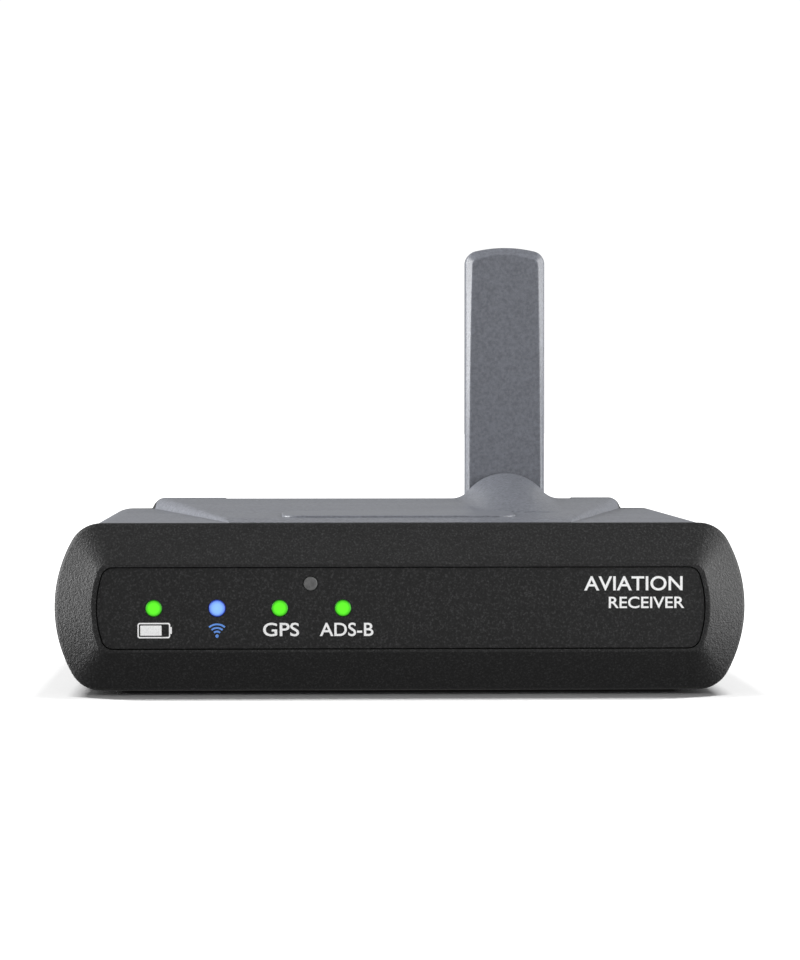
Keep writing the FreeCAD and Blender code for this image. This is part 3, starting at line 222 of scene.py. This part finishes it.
def antenna_grey():
    return grey_paint("antenna_grey", (0.137, 0.144, 0.165), 0.014, 0.20)


def plate_grey():
    return grey_paint("plate_grey", (0.146, 0.153, 0.174), 0.02, 0.2)


def lit_lens(name, node, core, rim, strength):
    """A lit light pipe: bright in its middle, deeper towards its rim."""
    s = Shader(name, core, 0.34, Specular_IOR_Level=0.3)
    apart = s.add("ShaderNodeVectorMath", operation="SUBTRACT")
    apart.inputs[1].default_value = middle(node)
    s.link(s.coords, apart.inputs[0])
    flat = s.add("ShaderNodeVectorMath", operation="MULTIPLY")
    flat.inputs[1].default_value = (1, 0, 1)
    s.link(apart.outputs["Vector"], flat.inputs[0])
    length = s.add("ShaderNodeVectorMath", operation="LENGTH")
    s.link(flat.outputs["Vector"], length.inputs[0])
    outward = s.spread(length.outputs["Value"], 0.0, 1.0, 0.0, LENS_RADIUS)
    stops = ((0.0, core), (0.55, blend(core, rim, 0.12)), (0.80, blend(core, rim, 0.45)), (0.98, rim))
    glow = s.ramp(outward, stops)
    s.set("Base Color", glow)
    s.set("Emission Color", glow)
    s.bsdf.inputs["Emission Strength"].default_value = strength
    s.set("Roughness", s.spread(s.noise(900.0), 0.30, 0.40))
    return s.material


def window_smoke():
    s = Shader("window_smoke", (0.10, 0.10, 0.10), 0.3)
    dark, light = (0.085, 0.085, 0.085), (0.135, 0.135, 0.135)
    s.set("Base Color", s.ramp(s.noise(1500.0, 2.0), ((0.3, dark), (0.7, light))))
    s.set("Roughness", s.spread(s.noise(800.0), 0.26, 0.38))
    return s.material


def foot_rubber():
    s = Shader("foot_rubber", (0.005, 0.005, 0.005), 0.8, Specular_IOR_Level=0.2)
    s.set("Base Color", s.mix(s.noise(700.0), (0.003, 0.003, 0.003), (0.006, 0.006, 0.006)))
    s.set("Roughness", s.spread(s.noise(260.0), 0.62, 0.8))
    s.bump(s.noise(2600.0, 2.0), 0.03, 0.6)
    return s.material


def satin_plastic(name, color, roughness):
    s = Shader(name, color, roughness)
    s.set("Base Color", s.mix(s.noise(900.0), scaled(color, 0.9), scaled(color, 1.1)))
    s.set("Roughness", s.spread(s.noise(220.0), roughness - 0.05, roughness + 0.06))
    s.bump(s.noise(3000.0, 2.0), 0.01, 0.5)
    return s.material


def metal(name, color, roughness, streak=(1, 1, 1)):
    """Metal with a fine grain, stretched along one axis if it is brushed."""
    s = Shader(name, color, roughness, Metallic=1.0)
    stretch = s.add("ShaderNodeMapping")
    stretch.inputs["Scale"].default_value = streak
    s.link(s.coords, stretch.inputs["Vector"])
    fine = s.add("ShaderNodeTexNoise")
    fine.inputs["Scale"].default_value = 900.0
    fine.inputs["Detail"].default_value = 3.0
    s.link(stretch.outputs["Vector"], fine.inputs["Vector"])
    grain = fine.outputs["Fac"]
    s.set("Base Color", s.mix(grain, scaled(color, 0.86), scaled(color, 1.08)))
    s.set("Roughness", s.spread(grain, roughness - 0.06, roughness + 0.08))
    s.bump(grain, 0.004, 0.4)
    return s.material


def board_green():
    """Solder mask with the traces under it showing as a faint weave."""
    s = Shader("board_green", (0.012, 0.12, 0.05), 0.35)
    bricks = s.add("ShaderNodeTexBrick")
    bricks.inputs["Scale"].default_value = 260.0
    bricks.inputs["Color1"].default_value = (0.010, 0.10, 0.040, 1)
    bricks.inputs["Color2"].default_value = (0.014, 0.14, 0.058, 1)
    bricks.inputs["Mortar"].default_value = (0.022, 0.19, 0.080, 1)
    bricks.inputs["Mortar Size"].default_value = 0.012
    s.link(s.coords, bricks.inputs["Vector"])
    s.set("Base Color", bricks.outputs["Color"])
    s.bump(bricks.outputs["Fac"], 0.01, 0.4)
    s.set("Roughness", s.spread(s.noise(300.0), 0.3, 0.42))
    return s.material


def patch_ceramic():
    """Cream ceramic, silvered on its upper face."""
    cream, silver = (0.66, 0.60, 0.48), (0.78, 0.77, 0.74)
    s = Shader("patch_ceramic", cream, 0.55)
    position = s.add("ShaderNodeSeparateXYZ")
    s.link(s.coords, position.inputs["Vector"])
    top = low_high("gps_patch")[1].z
    silvered = s.spread(position.outputs["Z"], 0.0, 1.0, top - 0.25 * MM, top - 0.1 * MM)
    s.set("Base Color", s.mix(silvered, cream, silver))
    s.set("Metallic", silvered)
    s.set("Roughness", s.spread(s.noise(500.0), 0.4, 0.6))
    return s.material


def battery_foil():
    s = Shader("battery_foil", (0.62, 0.63, 0.65), 0.34, Metallic=0.85)
    s.set("Roughness", s.spread(s.noise(140.0, 3.0), 0.28, 0.44))
    s.bump(s.noise(90.0, 3.0), 0.12, 0.5)
    return s.material


def ink(name, color):
    """Printed ink, a little uneven where it lies on the grain below it."""
    s = Shader(name, color, 0.6)
    s.set("Base Color", s.ramp(s.noise(4200.0, 2.0), ((0.28, scaled(color, 0.82)), (0.5, color))))
    s.bump(s.noise(3800.0, 2.0), 0.01, 0.5)
    return s.material


# Each glow: the colour of the middle, the colour of the rim, and the strength.
GREEN_GLOW = ((0.115, 0.93, 0.018), (0.006, 0.11, 0.002), 0.38)
BLUE_GLOW = ((0.26, 0.50, 1.0), (0.008, 0.03, 0.42), 0.34)


def materials_by_node():
    """Every carried-over CAD node with the material that it wears."""
    by_slot = {
        "case_black": case_black(),
        "panel_black": panel_black(),
        "cover_grey": cover_grey(),
        "plate_grey": plate_grey(),
        "window_smoke": window_smoke(),
        "foot_rubber": foot_rubber(),
        "button_black": satin_plastic("button_black", (0.03, 0.03, 0.031), 0.45),
        "bush_white": satin_plastic("bush_white", (0.72, 0.71, 0.67), 0.4),
        "hardware_steel": metal("hardware_steel", (0.56, 0.56, 0.57), 0.34),
        "shield_metal": metal("shield_metal", (0.70, 0.70, 0.69), 0.28, (1, 8, 1)),
        "jack_brass": metal("jack_brass", (0.86, 0.66, 0.30), 0.22),
        "board_green": board_green(),
        "chip_black": satin_plastic("chip_black", (0.025, 0.025, 0.026), 0.5),
        "lamp_white": satin_plastic("lamp_white", (0.82, 0.82, 0.76), 0.3),
        "patch_ceramic": patch_ceramic(),
        "battery_foil": battery_foil(),
        "flex_amber": satin_plastic("flex_amber", (0.55, 0.26, 0.04), 0.25),
        "lead_black": satin_plastic("lead_black", (0.02, 0.02, 0.02), 0.5),
        "lead_red": satin_plastic("lead_red", (0.42, 0.02, 0.015), 0.45),
    }
    worn = {part["node"]: by_slot.get(part["material_slot"]) for part in frame["record"]["subparts"]}
    for node in LAMPS:
        worn[node] = lit_lens(node + "_glow", node, *(BLUE_GLOW if node == "lens_link" else GREEN_GLOW))
    worn["bottom_case"] = worn["battery_door"] = bottom_black()
    worn["antenna_front_shell"] = worn["antenna_rear_shell"] = antenna_grey()
    return worn


def dress_nodes():
    for node, material in materials_by_node().items():
        mesh = NODES[node].data
        if len(mesh.materials) == 0:
            mesh.materials.append(material)
        for index in range(len(mesh.materials)):
            mesh.materials[index] = material


# ---- Printed marks on the front panel ----

INK_T = 0.03 * MM
INK_Y = PANEL_LOW.y - INK_T / 2  # the middle of the ink, which lies on the panel's face
INK_FRONT_Y = INK_Y - INK_T / 2
INK_BACK_Y = INK_Y + INK_T / 2
MARK_Z = middle("lens_battery").z - 3.95 * MM
LETTER_WEIGHT = 0.012  # how much bolder the letters are, as a share of their size
CORNER_STEPS = 6
DOT_STEPS = 20
WAVE_STEPS = 20
WAVE_RADII = (0.80 * MM, 1.45 * MM, 2.10 * MM)
WAVE_HALF_T = 0.16 * MM
WAVE_START = 48.0  # degrees from level, where each wave starts
WAVE_SWEEP = 84.0


def new_piece(name, mesh, material):
    piece = bpy.data.objects.new(name, mesh)
    bpy.context.scene.collection.objects.link(piece)
    mesh.materials.clear()
    mesh.materials.append(material)
    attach(piece, "case")
    return piece


def slab(bm, outline):
    """A flat closed plate of ink from an outline of (x, z) points."""
    front = [bm.verts.new((x, INK_FRONT_Y, z)) for x, z in outline]
    back = [bm.verts.new((x, INK_BACK_Y, z)) for x, z in outline]
    bm.faces.new(front)
    bm.faces.new(list(reversed(back)))
    count = len(outline)
    for i in range(count):
        j = (i + 1) % count
        bm.faces.new((front[j], front[i], back[i], back[j]))


def ring_slab(bm, outer, inner):
    """A plate of ink with one hole: both outlines have the same number of points."""
    depths = (INK_FRONT_Y, INK_BACK_Y)
    loops = [[bm.verts.new((x, y, z)) for x, z in line] for line in (outer, inner) for y in depths]
    outer_front, outer_back, inner_front, inner_back = loops
    count = len(outer)
    for i in range(count):
        j = (i + 1) % count
        bm.faces.new((outer_front[i], outer_front[j], inner_front[j], inner_front[i]))
        bm.faces.new((outer_back[j], outer_back[i], inner_back[i], inner_back[j]))
        bm.faces.new((outer_front[j], outer_front[i], outer_back[i], outer_back[j]))
        bm.faces.new((inner_front[i], inner_front[j], inner_back[j], inner_back[i]))


def rounded_rectangle(cx, cz, half_w, half_h, radius):
    points = []
    for corner, (sx, sz) in enumerate(((1, 1), (-1, 1), (-1, -1), (1, -1))):
        for step in range(CORNER_STEPS + 1):
            angle = math.radians(90 * corner + 90 * step / CORNER_STEPS)
            x = cx + sx * (half_w - radius) + radius * math.cos(angle)
            z = cz + sz * (half_h - radius) + radius * math.sin(angle)
            points.append((x, z))
    return points


def mesh_piece(name, build, material):
    """A piece whose mesh a function draws."""
    bm = bmesh.new()
    build(bm)
    bmesh.ops.recalc_face_normals(bm, faces=bm.faces)
    mesh = bpy.data.meshes.new(name)
    bm.to_mesh(mesh)
    bm.free()
    return new_piece(name, mesh, material)


def battery_mark(bm):
    """A battery pictogram: case, terminal and most of its charge."""
    cx = middle("lens_battery").x + 0.04 * MM
    outer = rounded_rectangle(cx, MARK_Z, 2.92 * MM, 1.38 * MM, 0.42 * MM)
    inner = rounded_rectangle(cx, MARK_Z, 2.68 * MM, 1.14 * MM, 0.24 * MM)
    ring_slab(bm, outer, inner)
    terminal = rounded_rectangle(cx + 3.05 * MM, MARK_Z, 0.14 * MM, 0.62 * MM, 0.10 * MM)
    slab(bm, terminal)
    charge = rounded_rectangle(cx - 0.53 * MM, MARK_Z, 1.90 * MM, 0.90 * MM, 0.10 * MM)
    slab(bm, charge)


def arc_points(cx, cz, radius, angles):
    return [(cx + radius * math.cos(angle), cz + radius * math.sin(angle)) for angle in angles]


def link_waves(bm):
    """A plain wireless sign: a dot with three arcs fanning up from it."""
    cx, cz = middle("lens_link").x, MARK_Z - 1.0 * MM
    turns = [2 * math.pi * i / DOT_STEPS for i in range(DOT_STEPS)]
    slab(bm, arc_points(cx, cz, 0.30 * MM, turns))
    angles = [math.radians(WAVE_START + WAVE_SWEEP * i / WAVE_STEPS) for i in range(WAVE_STEPS + 1)]
    for radius in WAVE_RADII:
        outer = arc_points(cx, cz, radius + WAVE_HALF_T, angles)
        inner = arc_points(cx, cz, radius - WAVE_HALF_T, angles)
        slab(bm, outer + inner[::-1])


def legend(name, words, x, z, width, height, align, material):
    """Printed words as thin raised ink, as wide and as tall as asked."""
    curve = bpy.data.curves.new(name, "FONT")
    curve.body = words
    curve.align_x = align
    curve.align_y = "CENTER"
    curve.resolution_u = 6
    curve.offset = LETTER_WEIGHT
    source = bpy.data.objects.new(name + "_source", curve)
    bpy.context.scene.collection.objects.link(source)
    bpy.context.view_layer.update()
    stretch_x, stretch_z = width / source.dimensions.x, height / source.dimensions.y
    curve.extrude = INK_T / 2
    bpy.context.view_layer.update()
    graph = bpy.context.evaluated_depsgraph_get()
    mesh = bpy.data.meshes.new_from_object(source.evaluated_get(graph))
    bpy.data.objects.remove(source)
    turn = Matrix.Translation((x, INK_Y, z)) @ Matrix.Rotation(math.radians(90), 4, "X")
    mesh.transform(turn @ Matrix.Diagonal((stretch_x, stretch_z, 1, 1)))
    mesh.name = name
    return new_piece(name, mesh, material)


def print_marks():
    white = ink("ink_white", (0.90, 0.90, 0.90))
    blue = ink("ink_blue", (0.12, 0.30, 0.80))
    mesh_piece("battery_mark", battery_mark, white)
    mesh_piece("link_waves", link_waves, blue)
    caps = 2.43 * MM
    gps_x = middle("lens_gps").x + 0.2 * MM
    traffic_x = middle("lens_traffic").x + 0.7 * MM
    legend("gps_legend", "GPS", gps_x, MARK_Z, 6.45 * MM, caps, "CENTER", white)
    legend("traffic_legend", "ADS-B", traffic_x, MARK_Z, 9.6 * MM, caps, "CENTER", white)
    right = PANEL_HIGH.x - 3.8 * MM
    centre = middle("front_panel").z
    legend("kind_legend", "AVIATION", right, centre + 4.2 * MM, 17.7 * MM, 2.6 * MM, "RIGHT", white)
    legend("device_legend", "RECEIVER", right, centre + 0.8 * MM, 13.6 * MM, 2.1 * MM, "RIGHT", white)


# ---- Stage ----

CAMERA_LENS_MM = 118.0
CAMERA_SENSOR_MM = 36.0
CAMERA_X, CAMERA_Z = -0.0189, 0.0514
CAMERA_AWAY = 0.562  # from the front of the case
TARGET_X, TARGET_Z = -0.0003, 0.03882

AMBIENT_LEVEL = 0.34
BACKDROP_LEVEL = 1.05

FLOOR_LIGHT_AWAY = 30.0
FLOOR_LIGHT_AZIMUTH = 52.0  # degrees to each side from straight behind
FLOOR_LIGHT_ELEVATION = 63.5
FLOOR_LIGHT_SPREAD = 31.7  # degrees that each strip covers, seen from the object
FLOOR_LIGHT_WIDTH = 1.0
FLOOR_LIGHT_LEVEL = 2.8  # watts per square metre that each strip gives a surface facing it

STUDIO_AIM = (0, 0, 0.03)
# Each softbox: name, place, width and height in metres, and power in watts.
SOFTBOXES = (
    ("left_softbox", (-0.75, 0.0, 0.16), 0.5, 0.9, 19.5),
    ("right_softbox", (0.75, 0.0, 0.16), 0.5, 0.9, 9.5),
    ("right_front_fill", (0.60, -0.45, 0.16), 0.5, 0.9, 4.6),
    ("top_softbox", (0.25, -0.35, 0.8), 0.9, 0.6, 0.4),
)
BOUNCE_AHEAD = 0.12  # from the front of the case
BOUNCE_W, BOUNCE_D = 0.4, 0.2
BOUNCE_POWER = 0.13


def add_camera():
    """A long lens a little left of the middle and above the case, as far off as a studio table shot."""
    camera = bpy.data.objects.new("camera", bpy.data.cameras.new("camera"))
    bpy.context.scene.collection.objects.link(camera)
    camera.data.lens = CAMERA_LENS_MM
    camera.data.sensor_width = CAMERA_SENSOR_MM
    camera.location = (CAMERA_X, CASE_FRONT_Y - CAMERA_AWAY, CAMERA_Z)
    target = Vector((TARGET_X, CASE_FRONT_Y, TARGET_Z))
    camera.rotation_euler = (target - camera.location).to_track_quat("-Z", "Y").to_euler()
    camera.data.clip_start = 0.01
    bpy.context.scene.camera = camera


def add_softbox(name, place, target, width, height, power):
    data = bpy.data.lights.new(name, "AREA")
    data.shape = "RECTANGLE"
    data.size, data.size_y = width, height
    data.energy = power
    light = bpy.data.objects.new(name, data)
    bpy.context.scene.collection.objects.link(light)
    light.location = place
    light.rotation_euler = (Vector(target) - light.location).to_track_quat("-Z", "Y").to_euler()
    return light


def add_floor():
    """A pale table top. It shows to the camera but doesn't light the object from below."""
    bm = bmesh.new()
    bmesh.ops.create_grid(bm, x_segments=8, y_segments=8, size=6.0)
    mesh = bpy.data.meshes.new("floor")
    bm.to_mesh(mesh)
    bm.free()
    floor = bpy.data.objects.new("floor", mesh)
    bpy.context.scene.collection.objects.link(floor)
    s = Shader("floor_white", (0.92, 0.92, 0.92), 0.9)
    s.set("Base Color", s.mix(s.noise(3.0), (0.91, 0.91, 0.91), (0.93, 0.93, 0.93)))
    mesh.materials.append(s.material)
    floor.visible_diffuse = False
    floor.visible_glossy = False
    return floor


def add_world():
    """White behind the object, and a dimmer even light on it."""
    world = bpy.data.worlds.new("studio")
    bpy.context.scene.world = world
    world.use_nodes = True
    nodes, links = world.node_tree.nodes, world.node_tree.links
    background = nodes["Background"]
    seen = nodes.new("ShaderNodeLightPath")
    strength = nodes.new("ShaderNodeMapRange")
    strength.inputs["To Min"].default_value = AMBIENT_LEVEL
    strength.inputs["To Max"].default_value = BACKDROP_LEVEL
    links.new(seen.outputs["Is Camera Ray"], strength.inputs["Value"])
    links.new(strength.outputs["Result"], background.inputs["Strength"])
    background.inputs["Color"].default_value = (1, 1, 1, 1)


def add_floor_light(name, side):
    """A far strip above, behind and to one side (-1 left, 1 right): the shadow lies close in front."""
    lean = math.radians(FLOOR_LIGHT_ELEVATION)
    turn = math.radians(FLOOR_LIGHT_AZIMUTH) * side
    out = FLOOR_LIGHT_AWAY * math.cos(lean)
    place = (out * math.sin(turn), out * math.cos(turn), FLOOR_LIGHT_AWAY * math.sin(lean))
    height = 2 * FLOOR_LIGHT_AWAY * math.tan(math.radians(FLOOR_LIGHT_SPREAD / 2))
    power = FLOOR_LIGHT_LEVEL * math.pi * FLOOR_LIGHT_AWAY**2
    return add_softbox(name, place, (0, 0, 0), FLOOR_LIGHT_WIDTH, height, power)


def add_table_bounce():
    """The light that the pale table in front throws up at the lower bevel. The camera doesn't see it."""
    ahead = CASE_FRONT_Y - BOUNCE_AHEAD
    place, above = (0, ahead, 1 * MM), (0, ahead, 1)
    bounce = add_softbox("table_bounce", place, above, BOUNCE_W, BOUNCE_D, BOUNCE_POWER)
    bounce.visible_camera = False
    return bounce


def light_studio():
    boxes = [add_softbox(name, place, STUDIO_AIM, *size_power) for name, place, *size_power in SOFTBOXES]
    return boxes + [add_table_bounce()]


def light_only(lights, lit):
    """Restricts lights to a few objects."""
    group = bpy.data.collections.new(lights[0].name + "_receivers")
    for item in lit:
        group.objects.link(item)
    for light in lights:
        light.light_linking.receiver_collection = group


def main():
    scene = bpy.context.scene
    scene.view_settings.view_transform = "Standard"
    scene.view_settings.look = "None"
    add_camera()
    dress_nodes()
    print_marks()
    floor = add_floor()
    add_world()
    pieces = [item for item in scene.objects if item.type == "MESH" and item != floor]
    light_only(light_studio(), pieces)
    strips = [add_floor_light("floor_strip_left", -1), add_floor_light("floor_strip_right", 1)]
    light_only(strips, [floor])


main()
